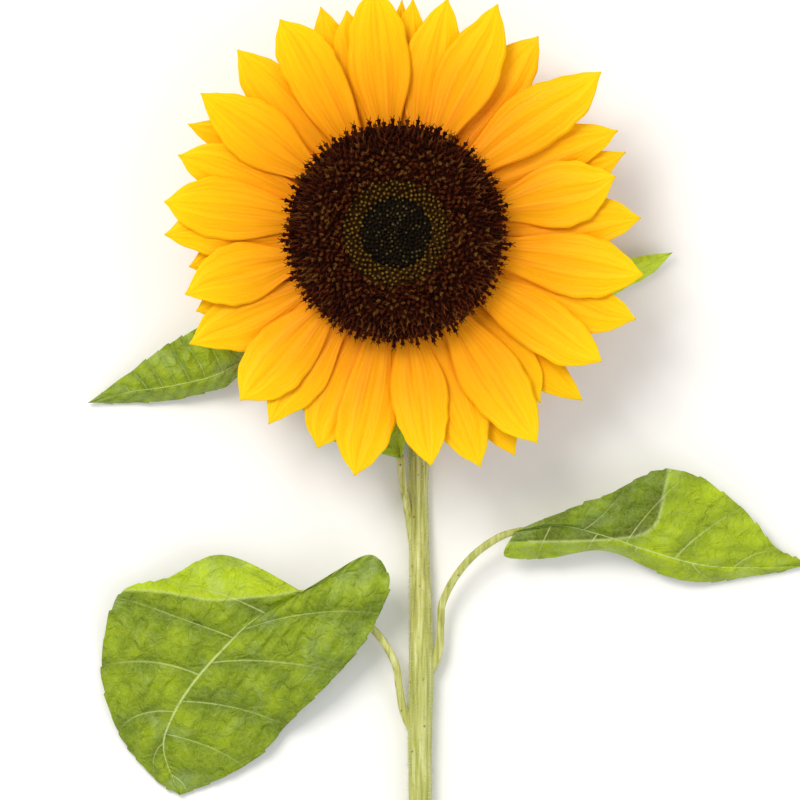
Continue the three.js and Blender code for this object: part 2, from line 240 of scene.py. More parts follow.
def cad_copy(node: str) -> Shape:
    """A CAD node's mesh as a bmesh with its loose triangles joined up."""
    shape = bmesh.new()
    shape.from_mesh(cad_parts[node].data)
    bmesh.ops.remove_doubles(shape, verts=shape.verts[:], dist=0.01 * MM)
    return shape


def bent_grid(across: int, along: int, place: Place, values: Mapping[str, Value]) -> Shape:
    """Bends a flat grid into a sheet or a tube.

    Args:
        across: faces from side to side.
        along: faces from end to end.
        place: gives the point for (along 0 to 1, side -1 to 1).
        values: named attributes, each worked out from the same two numbers.

    Returns:
        The bent grid.
    """
    grid = bmesh.new()
    bmesh.ops.create_grid(grid, x_segments=across, y_segments=along, size=1.0)
    layers = {name: grid.verts.layers.float.new(name) for name in values}
    for vertex in grid.verts:
        side, forward = vertex.co.x, (vertex.co.y + 1) / 2
        for name, layer in layers.items():
            vertex[layer] = values[name](forward, side)
        vertex.co = place(forward, side)
    return grid


def face_up(sheet: Shape) -> Shape:
    """Turns a sheet over if it faces down, and gives it back."""
    sheet.normal_update()
    if sum(face.normal.z * face.calc_area() for face in sheet.faces) < 0:
        bmesh.ops.reverse_faces(sheet, faces=sheet.faces[:])
    return sheet


def close_tube(tube: Shape, across: int) -> list[bmesh.types.BMFace]:
    """Welds a rolled grid's seam and fills its ends.

    Args:
        tube: the rolled grid.
        across: faces round it.

    Returns:
        The two end faces.
    """
    bmesh.ops.remove_doubles(tube, verts=tube.verts[:], dist=0.003 * MM)
    ends = bmesh.ops.holes_fill(tube, edges=tube.edges[:], sides=across + 2)["faces"]
    bmesh.ops.recalc_face_normals(tube, faces=tube.faces[:])
    return ends


def spun(
    profile: Sequence[tuple[float, float]], closed: bool, steps: int, weld: float, axis: Vector,
) -> Shape:
    """Spins a profile all the way round the disc's axis.

    Args:
        profile: the radius and height of each corner.
        closed: whether the last corner joins the first.
        steps: faces round the shape.
        weld: how near corners are merged.
        axis: a point on the axis.

    Returns:
        The spun shape, facing outwards.
    """
    shape = bmesh.new()
    corners = [shape.verts.new((radius, 0, height)) for radius, height in profile]
    pairs = zip(corners, corners[1:] + (corners[:1] if closed else []))
    edges = [shape.edges.new(pair) for pair in pairs]
    bmesh.ops.spin(
        shape, geom=corners + edges, cent=(0, 0, 0), axis=(0, 0, 1), angle=math.tau,
        steps=steps, use_merge=True,
    )
    bmesh.ops.remove_doubles(shape, verts=shape.verts[:], dist=weld)
    bmesh.ops.dissolve_degenerate(shape, edges=shape.edges[:], dist=0.001 * MM)
    bmesh.ops.recalc_face_normals(shape, faces=shape.faces[:])
    bmesh.ops.translate(shape, vec=(axis.x, axis.y, 0), verts=shape.verts[:])
    return shape


# ---- Finishes --------------------------------------------------------------


def set_stops(ramp: bpy.types.ColorRamp, stops: Sequence[tuple[float, str]]) -> None:
    """Sets a colour ramp's places and hex colours, first to last."""
    while len(ramp.elements) < len(stops):
        ramp.elements.new(0.5)
    for element, (place, code) in zip(ramp.elements, stops):
        element.position = place
        element.color = linear(code)


def add_node(
    tree: Tree, kind: str, links: Mapping[str | int, object] | None = None, output: str | int = 0,
    stops: Sequence[tuple[float, str]] = (), **settings: object,
) -> Socket | None:
    """Adds a shader node with its settings and links.

    Args:
        tree: the material's node tree.
        kind: the node's type, without "ShaderNode".
        links: its inputs by name or index, each a value or a socket to link from.
        output: the output that is wanted, by name or index.
        stops: a colour ramp's places and hex colours.
        settings: its other properties, by name.

    Returns:
        That output, where the node has one.
    """
    node = tree.nodes.new("ShaderNode" + kind)
    for name, value in settings.items():
        setattr(node, name, value)
    if stops:
        set_stops(node.color_ramp, stops)
    for name, value in (links or {}).items():
        if isinstance(value, Socket):
            tree.links.new(value, node.inputs[name])
        else:
            node.inputs[name].default_value = value
    return node.outputs[output] if len(node.outputs) else None


@dataclass(frozen=True)
class Finish:
    """A finish, which is one Principled surface under its own name."""

    name: str

    def paint(self, tree: Tree) -> dict[str, object]:
        """Gives the surface's inputs; each kind of finish has its own."""
        raise NotImplementedError

    def material(self) -> bpy.types.Material:
        """Builds the finish.

        Returns:
            The finish's material.
        """
        material = bpy.data.materials.new(self.name)
        material.use_nodes = True
        tree = material.node_tree
        tree.nodes.clear()
        shader = add_node(tree, "BsdfPrincipled", self.paint(tree))
        add_node(tree, "OutputMaterial", {"Surface": shader})
        return material


@dataclass(frozen=True)
class PetalSkin(Finish):
    """Ray petal: thin living tissue, smooth and satin, that lets light through.

    It gives the eye an orange root that clears to yellow at the tip, its
    darkest band next to the disc partly painted shade, fine lengthwise veins
    drawn darker near the root as painted shade, painted shade on the lower
    petals through their tone, and a warm glow where the light passes through.
    """

    name: str = "ray_petal_tissue"
    roughness: float = 0.5
    glow: float = 0.35
    # The dark orange at the root is partly the petal's own colour and partly painted shade from the disc.
    stops: tuple[tuple[float, str], ...] = (
        (0.0, "#c86a00"), (0.12, "#f49800"), (0.35, "#fda600"),
        (0.62, "#ffb800"), (0.85, "#ffc600"), (1.0, "#ffd208"),
    )
    # The colour of the veins and of the painted shade.
    deep: str = "#e07800"
    # How often the veins vary to the side, along the petal and from petal to petal.
    # They are drawn about three times as wide as real ones so that they show.
    vein_rate: tuple[float, float, float] = (9.0, 1.1, 7.0)

    def paint(self, tree: Tree) -> dict[str, object]:
        """Gives the petal surface's inputs.

        Args:
            tree: the material's node tree.

        Returns:
            The inputs by name.
        """
        along, side, tone = (
            add_node(tree, "Attribute", output="Fac", attribute_name=name)
            for name in ("along", "side", "tone"))
        colour = add_node(tree, "ValToRGB", {"Fac": along}, stops=self.stops)
        place = add_node(tree, "CombineXYZ", {"X": side, "Y": along, "Z": tone})
        spread = add_node(tree, "Mapping", {"Vector": place, "Scale": self.vein_rate})
        streaks = add_node(tree, "TexNoise", {
            "Vector": spread, "Scale": 1.0, "Detail": 4.0, "Roughness": 0.55})
        depth = add_node(tree, "MapRange", {
            "Value": streaks, "From Min": 0.42, "From Max": 0.72, "To Max": 0.6})
        # Painted shade: the veins are drawn darker towards the root, where the disc shades the petals.
        painted_root_shade = add_node(tree, "MapRange", {
            "Value": along, "From Min": 0.05, "From Max": 0.6, "To Min": 1.5, "To Max": 0.6})
        drawn = add_node(tree, "Math", {0: depth, 1: painted_root_shade}, operation="MULTIPLY")
        # The tone mixes in painted shade, darker on the lower petals and at the root.
        for share in (drawn, tone):
            colour = add_node(
                tree, "Mix", {0: share, 6: colour, 7: linear(self.deep)}, 2, data_type="RGBA")
        return {
            "Base Color": colour,
            "Roughness": self.roughness,
            "IOR": 1.4,
            "Specular IOR Level": 0.15,
            "Subsurface Weight": self.glow,
            "Subsurface Radius": (1.0, 0.6, 0.05),
            "Subsurface Scale": 1.5 * MM,
            "Normal": add_node(tree, "Bump", {"Height": streaks, "Strength": 0.7, "Distance": 0.4 * MM}),
        }


@dataclass(frozen=True)
class FloretFlesh(Finish):
    """Disc floret: dry papery tubes with pollen-dusted tips.

    It gives the eye a matt speckle, because every floret and every tip has
    its own tone between the dark and the light colour.
    """

    dark: str
    body: str
    light: str
    roughness: float = 0.9
    speck: float = 1.2 * MM

    def paint(self, tree: Tree) -> dict[str, object]:
        """Gives the floret surface's inputs.

        Args:
            tree: the material's node tree.

        Returns:
            The inputs by name.
        """
        tone = add_node(tree, "Attribute", output="Fac", attribute_name="tone")
        place = add_node(tree, "TexCoord", output="Object")
        grain = add_node(tree, "TexNoise", {"Vector": place, "Scale": 1 / self.speck, "Detail": 3.0})
        shifted = add_node(tree, "Math", {0: grain, 1: 0.5, 2: tone}, operation="MULTIPLY_ADD")
        base = add_node(tree, "Math", {0: shifted, 1: 0.25}, operation="SUBTRACT")
        stops = ((0.0, self.dark), (0.4, self.body), (0.95, self.light))
        return {
            "Base Color": add_node(tree, "ValToRGB", {"Fac": base}, stops=stops),
            "Roughness": self.roughness,
            "Specular IOR Level": 0.12,
            "Normal": add_node(tree, "Bump", {"Height": grain, "Strength": 0.6, "Distance": 0.2 * MM}),
        }


@dataclass(frozen=True)
class LeafBlade(Finish):
    """Leaf blade: waxy skin over soft green tissue, roughened by short hairs.

    It gives the eye a green mottled at random and by the painted light and
    shade that its tone carries, fine pale veins, a painted highlight along
    a crease, grey patches of painted sheen, and a faint real sheen. Its veins
    follow the piece's own "phase" (a whole number on each side vein) and
    "side" (0 on the midrib).
    """

    deep: str
    dark: str
    body: str
    light: str
    vein: str
    # The colour of the painted sheen patches, a greyish highlight colour.
    painted_sheen: str = "#a4b97c"
    roughness: float = 0.42
    sheen: float = 0.03
    cell: float = 2.2 * MM
    patch: float = 11 * MM
    cloud: float = 17 * MM
    crumple: float = 4.5 * MM
    vein_width: float = 0.015
    rib_width: float = 0.011

    def vein_share(self, tree: Tree) -> Socket:
        """Draws the midrib and the side veins.

        Args:
            tree: the material's node tree.

        Returns:
            How strongly a vein shows, 0 to 1.
        """
        side = add_node(tree, "Attribute", output="Fac", attribute_name="side")
        reach = add_node(tree, "Math", {0: side}, operation="ABSOLUTE")
        phase = add_node(tree, "Attribute", output="Fac", attribute_name="phase")
        near = add_node(tree, "Math", {0: phase, 1: 0.5}, operation="PINGPONG")
        lateral = add_node(tree, "MapRange", {
            "Value": near, "From Min": self.vein_width * 0.4, "From Max": self.vein_width * 1.6,
            "To Min": 0.55, "To Max": 0.0,
        }, interpolation_type="SMOOTHSTEP")
        faded = add_node(tree, "MapRange", {
            "Value": reach, "From Min": 0.25, "From Max": 0.95, "To Min": 1.0, "To Max": 0.15})
        laterals = add_node(tree, "Math", {0: lateral, 1: faded}, operation="MULTIPLY")
        rib = add_node(tree, "MapRange", {
            "Value": reach, "From Min": self.rib_width * 0.4, "From Max": self.rib_width * 1.5,
            "To Min": 0.8, "To Max": 0.0,
        }, interpolation_type="SMOOTHSTEP")
        return add_node(tree, "Math", {0: laterals, 1: rib}, operation="MAXIMUM")

    def paint(self, tree: Tree) -> dict[str, object]:
        """Gives the blade surface's inputs.

        Args:
            tree: the material's node tree.

        Returns:
            The inputs by name.
        """
        # The tone carries random variation and painted light and shade; pale carries a painted highlight
        # along a crease.
        tone, pale = (
            add_node(tree, "Attribute", output="Fac", attribute_name=name) for name in ("tone", "pale"))
        place = add_node(tree, "TexCoord", output="Object")
        patches = add_node(tree, "TexNoise", {
            "Vector": place, "Scale": 1 / self.patch, "Detail": 6.0, "Roughness": 0.62})
        mixed = add_node(tree, "Math", {0: patches, 1: 0.65, 2: tone}, operation="MULTIPLY_ADD")
        base = add_node(tree, "Math", {0: mixed, 1: 0.08}, operation="SUBTRACT")
        # The ramp's deep low end shows where the tone carries painted shade, as in a leaf's hollow.
        colour = add_node(tree, "ValToRGB", {"Fac": base}, stops=(
            (0.0, self.deep), (0.2, self.dark), (0.6, self.body), (1.0, self.light)))
        # Painted sheen: grey patches, laid by noise, stand in for the blade's greyish highlights.
        clouds = add_node(tree, "TexNoise", {
            "Vector": place, "Scale": 1 / self.cloud, "Detail": 3.0, "Roughness": 0.6, "Distortion": 0.8})
        painted_sheen = add_node(tree, "MapRange", {
            "Value": clouds, "From Min": 0.52, "From Max": 0.74, "To Max": 0.38})
        # The net of small veins between the side veins is barely paler than the blade.
        net = add_node(
            tree, "TexVoronoi", {"Vector": place, "Scale": 1 / self.cell, "Randomness": 1.0},
            feature="DISTANCE_TO_EDGE")
        line = add_node(tree, "MapRange", {
            "Value": net, "From Min": 0.0, "From Max": 0.12, "To Min": 0.09, "To Max": 0.0})
        veins = self.vein_share(tree)
        # The vein colour is mixed in by the net, by the painted crease highlight and by the veins.
        for share, code in ((painted_sheen, self.painted_sheen), (line, self.vein), (pale, self.vein), (veins, self.vein)):
            colour = add_node(tree, "Mix", {0: share, 6: colour, 7: linear(code)}, 2, data_type="RGBA")
        # The skin crumples finely across the blade between the side veins.
        crumple = add_node(tree, "TexNoise", {
            "Vector": place, "Scale": 1 / self.crumple, "Detail": 4.0, "Roughness": 0.55, "Distortion": 0.6})
        crumpled = add_node(tree, "Bump", {"Height": crumple, "Strength": 1.0, "Distance": 2.6 * MM})
        return {
            "Base Color": colour,
            "Roughness": self.roughness,
            "IOR": 1.45,
            "Specular IOR Level": 0.35,
            "Subsurface Weight": 0.15,
            "Subsurface Radius": (0.5, 1.0, 0.1),
            "Subsurface Scale": 1.0 * MM,
            "Sheen Weight": self.sheen,
            "Sheen Roughness": 0.45,
            "Sheen Tint": linear("#dfe8c0"),
            "Normal": add_node(tree, "Bump", {
                "Height": net, "Strength": 0.3, "Distance": 0.5 * MM, "Normal": crumpled}),
        }


@dataclass(frozen=True)
class StemSkin(Finish):
    """Stem skin: fibrous, ribbed lengthwise and covered in fine pale hairs.

    It gives the eye pale yellow-green streaks along the stem, a few dark
    freckles, and a soft pale edge from the hairs.
    """

    name: str = "ribbed_stem_skin"
    streak: float = 1.1 * MM
    fleck: float = 4.5 * MM
    patch: float = 22 * MM

    def paint(self, tree: Tree) -> dict[str, object]:
        """Gives the stem surface's inputs.

        Args:
            tree: the material's node tree.

        Returns:
            The inputs by name.
        """
        place = add_node(tree, "TexCoord", output="Object")
        drawn = add_node(tree, "Mapping", {"Vector": place, "Scale": (1.0, 0.05, 1.0)})
        fibres = add_node(tree, "TexNoise", {
            "Vector": drawn, "Scale": 1 / self.streak, "Detail": 3.0, "Roughness": 0.6})
        colour = add_node(tree, "ValToRGB", {"Fac": fibres}, stops=(
            (0.3, "#87883a"), (0.45, "#b0b058"), (0.57, "#c8c97a"), (0.72, "#e0e4ac")))
        patches = add_node(tree, "TexNoise", {"Vector": place, "Scale": 1 / self.patch, "Detail": 2.0})
        green = add_node(tree, "MapRange", {
            "Value": patches, "From Min": 0.4, "From Max": 0.7, "To Max": 0.55})
        flecks = add_node(tree, "TexVoronoi", {"Vector": place, "Scale": 1 / self.fleck})
        spot = add_node(tree, "MapRange", {
            "Value": flecks, "From Min": 0.05, "From Max": 0.13, "To Min": 0.75, "To Max": 0.0})
        pith = add_node(tree, "Attribute", output="Fac", attribute_name="pith")
        for share, code in ((green, "#9aa648"), (spot, "#6a4a20"), (pith, "#e6e8c4")):
            colour = add_node(tree, "Mix", {0: share, 6: colour, 7: linear(code)}, 2, data_type="RGBA")
        return {
            "Base Color": colour,
            "Roughness": 0.5,
            "IOR": 1.42,
            "Subsurface Weight": 0.2,
            "Subsurface Radius": (0.8, 1.0, 0.3),
            "Subsurface Scale": 1.2 * MM,
            "Sheen Weight": 0.5,
            "Sheen Roughness": 0.4,
            "Sheen Tint": linear("#f4f6e0"),
            "Normal": add_node(tree, "Bump", {"Height": fibres, "Strength": 0.6, "Distance": 0.4 * MM}),
        }


@dataclass(frozen=True)
class StemHair(Finish):
    """Stem hair: a glassy bristle, whitish and see-through at its tip.

    It gives the eye a pale fuzzy edge where the stem meets the background.
    """

    name: str = "stem_hair"
    mottle: float = 3.0 * MM

    def paint(self, tree: Tree) -> dict[str, object]:
        """Gives the hair surface's inputs.

        Args:
            tree: the material's node tree.

        Returns:
            The inputs by name.
        """
        place = add_node(tree, "TexCoord", output="Object")
        shade = add_node(tree, "TexNoise", {"Vector": place, "Scale": 1 / self.mottle})
        colour = add_node(tree, "ValToRGB", {"Fac": shade}, stops=((0.3, "#dfe2b8"), (0.7, "#f8faec")))
        return {"Base Color": colour, "Roughness": 0.35, "IOR": 1.45, "Transmission Weight": 0.25}


@dataclass(frozen=True)
class Backdrop(Finish):
    """Painted board: matt and near white.

    It gives the eye a faint mottle from its brushing.
    """

    name: str = "pale_painted_board"
    mottle: float = 1 / 30

    def paint(self, tree: Tree) -> dict[str, object]:
        """Gives the board surface's inputs.

        Args:
            tree: the material's node tree.

        Returns:
            The inputs by name.
        """
        place = add_node(tree, "TexCoord", output="Object")
        mottle = add_node(tree, "TexNoise", {"Vector": place, "Scale": 1 / self.mottle, "Detail": 4.0})
        colour = add_node(tree, "ValToRGB", {"Fac": mottle}, stops=((0.3, "#f3f3f1"), (0.7, "#f6f6f4")))
        return {"Base Color": colour, "Roughness": 0.9, "Specular IOR Level": 0.1}


# ---- Petals and bracts -----------------------------------------------------

ROW_POINTS = 6


@dataclass
class Ribbon:
    """The rows of a thin CAD solid, each a left, middle and right point, root first."""

    rows: list[tuple[Vector, Vector, Vector]]

    @classmethod
    def of_node(cls, node: str, axis: Vector) -> "Ribbon":
        """Reads the rows of a thin solid that grows outwards from an axis.

        Args:
            node: the CAD node.
            axis: a point on the upright axis that it grows from.

        Returns:
            Its rows, from the root to the tip.
        """
        shape = cad_copy(node)
        points = [vertex.co.copy() for vertex in shape.verts]
        shape.free()
        by_reach = sorted(points, key=lambda p: (p.xy - axis.xy).length)
        root = middle(by_reach[:ROW_POINTS])
        tip = middle(sorted(points, key=lambda p: (p.xy - root.xy).length)[-ROW_POINTS:])
        forward = (tip.xy - root.xy).normalized()
        aside = Vector((forward.y, -forward.x))
        ordered = sorted(points, key=lambda p: p.xy.dot(forward))
        rows = []
        for first in range(0, len(ordered), ROW_POINTS):
            row = sorted(ordered[first:first + ROW_POINTS], key=lambda p: p.xy.dot(aside))
            rows.append((middle(row[:2]), middle(row[2:4]), middle(row[4:])))
        return cls(rows)

    def point(self, along: float, side: float) -> Vector:
        """A point on the ribbon.

        Args:
            along: 0 at the root, 1 at the tip.
            side: -1 at the left edge, 0 in the middle, 1 at the right edge.

        Returns:
            The point.
        """
        left, centre, right = (through([row[k] for row in self.rows], along) for k in range(3))
        return centre + (right - left) * side / 2 + (left + right - 2 * centre) * side * side / 2


@dataclass
class Petals:
    """The ray petals, each a grooved sheet that follows its CAD solid."""

    axis: Vector
    thickness: float = 0.28 * MM
    groove: float = 0.3 * MM
    ripple: float = 0.1 * MM
    edge_wave: float = 0.55 * MM
    hook: float = 2.4 * MM
    across: int = 16
    along: int = 44
    skin: PetalSkin = field(default_factory=PetalSkin)

    def shape(self, ribbon: Ribbon, seed: int) -> Place:
        """Makes the function that places one petal's points.

        Args:
            ribbon: the petal's CAD rows.
            seed: a number of its own for the petal.

        Returns:
            A function of the place along and to the side.
        """
        draw = random.Random(seed)
        shift = draw.uniform(-0.25, 0.25)
        waves = draw.uniform(1.2, 2.4)
        start = draw.uniform(0, math.tau)
        pinch = draw.uniform(0.02, 0.11)
        hook = draw.uniform(-1, 1) * self.hook
        nicks = draw.uniform(4, 7)
        forward = (ribbon.point(1, 0) - ribbon.point(0, 0)).normalized()
        aside = Vector((forward.y, -forward.x, 0))

        def place(along: float, side: float) -> Vector:
            """Places one point of the petal."""
            tip_pull = 1 - 0.35 * ease(along, 0.9, 1.0)
            squeeze = tip_pull * (1 - pinch * math.sin(along * math.tau + start))
            frayed = 1 + 0.03 * math.sin(math.tau * nicks * along + start) * ease(along, 0.4, 0.7)
            point = ribbon.point(along, side * squeeze * frayed) + aside * hook * ease(along, 0.72, 1.0) ** 2
            body = ease(along, 0.0, 0.12) * (1 - ease(along, 0.82, 1.0))
            folds = -math.cos(math.pi * 3.0 * (side + shift * 0.3)) * self.groove * body
            fine = math.sin(math.pi * 8 * side + start + 3 * along) * self.ripple * body
            edge = abs(side) ** 3 * math.sin(math.tau * waves * along + start + side) * self.edge_wave * body
            point.z += folds * (1 - 0.4 * abs(side)) + fine + edge
            return point

        return place

    def build(self) -> list[Piece]:
        """Builds every petal; each differs a little in tone at random, and the lower ones carry a darker
        painted shade.
        """
        skin = [self.skin.material()]
        names = sorted(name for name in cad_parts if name.startswith("petal_"))
        heights = [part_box(name)[0][2] for name in names]
        low, high = min(heights), max(heights)
        pieces = []
        for seed, (name, height) in enumerate(zip(names, heights)):
            # Painted shade: the lower a petal lies, the darker its tone, as if shaded by the petals above;
            # the darkening fades from the root to the tip.
            depth = 1 - (height - low) / (high - low)
            tone = 0.04 + 0.3 * depth + random.Random(900 + seed).uniform(-0.04, 0.1)
            place = self.shape(Ribbon.of_node(name, self.axis), seed)
            sheet = face_up(bent_grid(self.across, self.along, place, {
                "along": lambda along, side: along,
                "side": lambda along, side: side,
                "tone": lambda along, side: max(0.0, tone * (1 - 0.75 * along)),
            }))
            pieces.append(settle(sheet, f"ray_{name}", skin, Slot.PETAL, name, thickness=self.thickness))
        return pieces


@dataclass
class Bracts:
    """The green bracts that stand behind the petals and carry the head."""

    axis: Vector
    thickness: float = 0.5 * MM
    keel: float = 0.5 * MM
    wave: float = 0.8 * MM
    widening: float = 1.12
    across: int = 12
    along: int = 28
    skin: LeafBlade = field(default_factory=lambda: LeafBlade(
        "hairy_bract_skin", "#35480a", "#4d6414", "#7d9a2c", "#a8bd58", "#c8d69a",
        roughness=0.6, sheen=0.5, cell=2.0 * MM))

    def build(self) -> list[Piece]:
        """Builds every bract."""
        skin = [self.skin.material()]
        pieces = []
        for seed, name in enumerate(sorted(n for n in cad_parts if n.startswith("bract_"))):
            ribbon = Ribbon.of_node(name, self.axis)
            start = random.Random(300 + seed).uniform(0, math.tau)

            def place(along: float, side: float) -> Vector:
                """Places one point of the bract."""
                point = ribbon.point(along, side * self.widening)
                keel = (math.cos(math.pi * side) - 0.5) * self.keel * (1 - along)
                wave = abs(side) ** 2 * math.sin(math.tau * 1.5 * along + start) * self.wave * (1 - along)
                point.z = max(point.z + keel + wave, self.thickness + 0.1 * MM)
                return point

            sheet = face_up(bent_grid(self.across, self.along, place, {
                "side": lambda along, side: side,
                "phase": lambda along, side: 0.5,
                "tone": lambda along, side: 0.1 * math.cos(side * 9) + 0.15 * (1 - along),
            }))
            pieces.append(settle(sheet, f"green_{name}", skin, Slot.BRACT, name, thickness=self.thickness))
        return pieces


# ---- Disc ------------------------------------------------------------------


@dataclass
class Template:
    """A small shape that is set down many times in one mesh."""

    mesh: bpy.types.Mesh
    rest: list[Vector]

    @classmethod
    def of_shape(cls, shape: Shape, name: str) -> "Template":
        """Keeps a small bmesh, which it frees, as a template."""
        mesh = to_mesh(shape, name)
        mesh.attributes.new("tone", "FLOAT", "POINT")
        return cls(mesh, [vertex.co.copy() for vertex in mesh.vertices])

    def stamp(self, target: Shape, matrix: Matrix, tone: float = 0.0, tip: float = 0.0) -> None:
        """Adds one copy to a bmesh.

        Args:
            target: the bmesh that grows.
            matrix: where the copy goes.
            tone: the copy's tone at its foot.
            tip: how much lighter its top is.
        """
        top = max(point.z for point in self.rest)
        moved = [value for point in self.rest for value in matrix @ point]
        tones = [tone + tip * max(0.0, point.z / top) for point in self.rest]
        self.mesh.vertices.foreach_set("co", moved)
        self.mesh.attributes["tone"].data.foreach_set("value", tones)
        target.from_mesh(self.mesh)

    def discard(self) -> None:
        """Removes the template's mesh once it has been used."""
        bpy.data.meshes.remove(self.mesh)


def crowned_tube(
    sides: int, foot: float, top: float, height: float, flare: float, rise: float,
) -> tuple[Shape, bmesh.types.BMFace]:
    """Makes a small upright tube whose top is drawn on once more.

    Args:
        sides: faces round it.
        foot: its radius at the foot.
        top: its radius at the top.
        height: its height before the crown.
        flare: how many times as wide the crown ends.
        rise: how far the crown goes up.

    Returns:
        The tube and the face at its top.
    """
    shape = bmesh.new()
    bmesh.ops.create_cone(
        shape, cap_ends=True, segments=sides, radius1=foot, radius2=top, depth=height,
        matrix=Matrix.Translation((0, 0, height / 2)),
    )
    lid = max(shape.faces, key=lambda face: face.calc_center_median().z)
    crown = bmesh.ops.extrude_discrete_faces(shape, faces=[lid])["faces"][0]
    centre = crown.calc_center_median()
    bmesh.ops.scale(shape, vec=(flare, flare, 1), space=Matrix.Translation(-centre), verts=crown.verts[:])
    bmesh.ops.translate(shape, vec=(0, 0, rise), verts=crown.verts[:])
    return shape, crown


def open_floret() -> Template:
    """An open floret: a five-sided tube with flared lobes and a forked style."""
    shape, crown = crowned_tube(5, 0.42 * MM, 0.5 * MM, 2.6 * MM, 1.7, 0.5 * MM)
    bmesh.ops.inset_individual(shape, faces=[crown], thickness=0.35 * MM, depth=-0.5 * MM)
    bmesh.ops.recalc_face_normals(shape, faces=shape.faces[:])
    for lean in (-0.5, 0.5):
        bmesh.ops.create_cone(
            shape, cap_ends=True, segments=3, radius1=0.24 * MM, radius2=0.08 * MM, depth=2.2 * MM,
            matrix=Matrix.Translation((lean * 0.5 * MM, 0, 3.7 * MM)) @ Matrix.Rotation(lean, 4, "Y"),
        )
    return Template.of_shape(shape, "open_floret")


def bud(width: float, height: float) -> Template:
    """A closed floret of some width and height: a blunt six-sided bud."""
    shape, _ = crowned_tube(6, width * 0.4, width * 0.5, height * 0.7, 0.4, height * 0.3)
    return Template.of_shape(shape, "closed_bud")


@dataclass
class Stand:
    """How one floret stands: its size, its outward lean, its tone and its tip's tone."""

    size: float
    lean: float
    tone: float
    tip: float


def stand_open(outward: float, draw: random.Random) -> Stand:
    """Stands an open floret up, or over the petals near the rim.

    Args:
        outward: 0 well inside the rim, 1 on it.
        draw: where its random numbers come from.

    Returns:
        How it stands.
    """
    lean = outward * 1.05 + draw.uniform(-0.22, 0.22)
    tone = draw.choice((0.0, 0.1, 0.2, 0.3, 0.45))
    return Stand(0.95 + 0.2 * outward, lean, tone, draw.choice((0.1, 0.25, 0.5)) * (1 - 0.7 * outward))


def stand_opening(outward: float, draw: random.Random) -> Stand:
    """Stands an opening floret nearly upright."""
    return Stand(1.0, draw.uniform(-0.25, 0.1), draw.uniform(0.0, 0.4), draw.uniform(0.3, 0.6))


def stand_closed(outward: float, draw: random.Random) -> Stand:
    """Leans a closed bud in towards the middle."""
    lean, tone = -0.25 + draw.uniform(-0.1, 0.1), draw.uniform(-0.1, 0.2)
    return Stand(0.9, lean, tone, draw.choice((0.0, 0.1, 0.3, 0.7)))


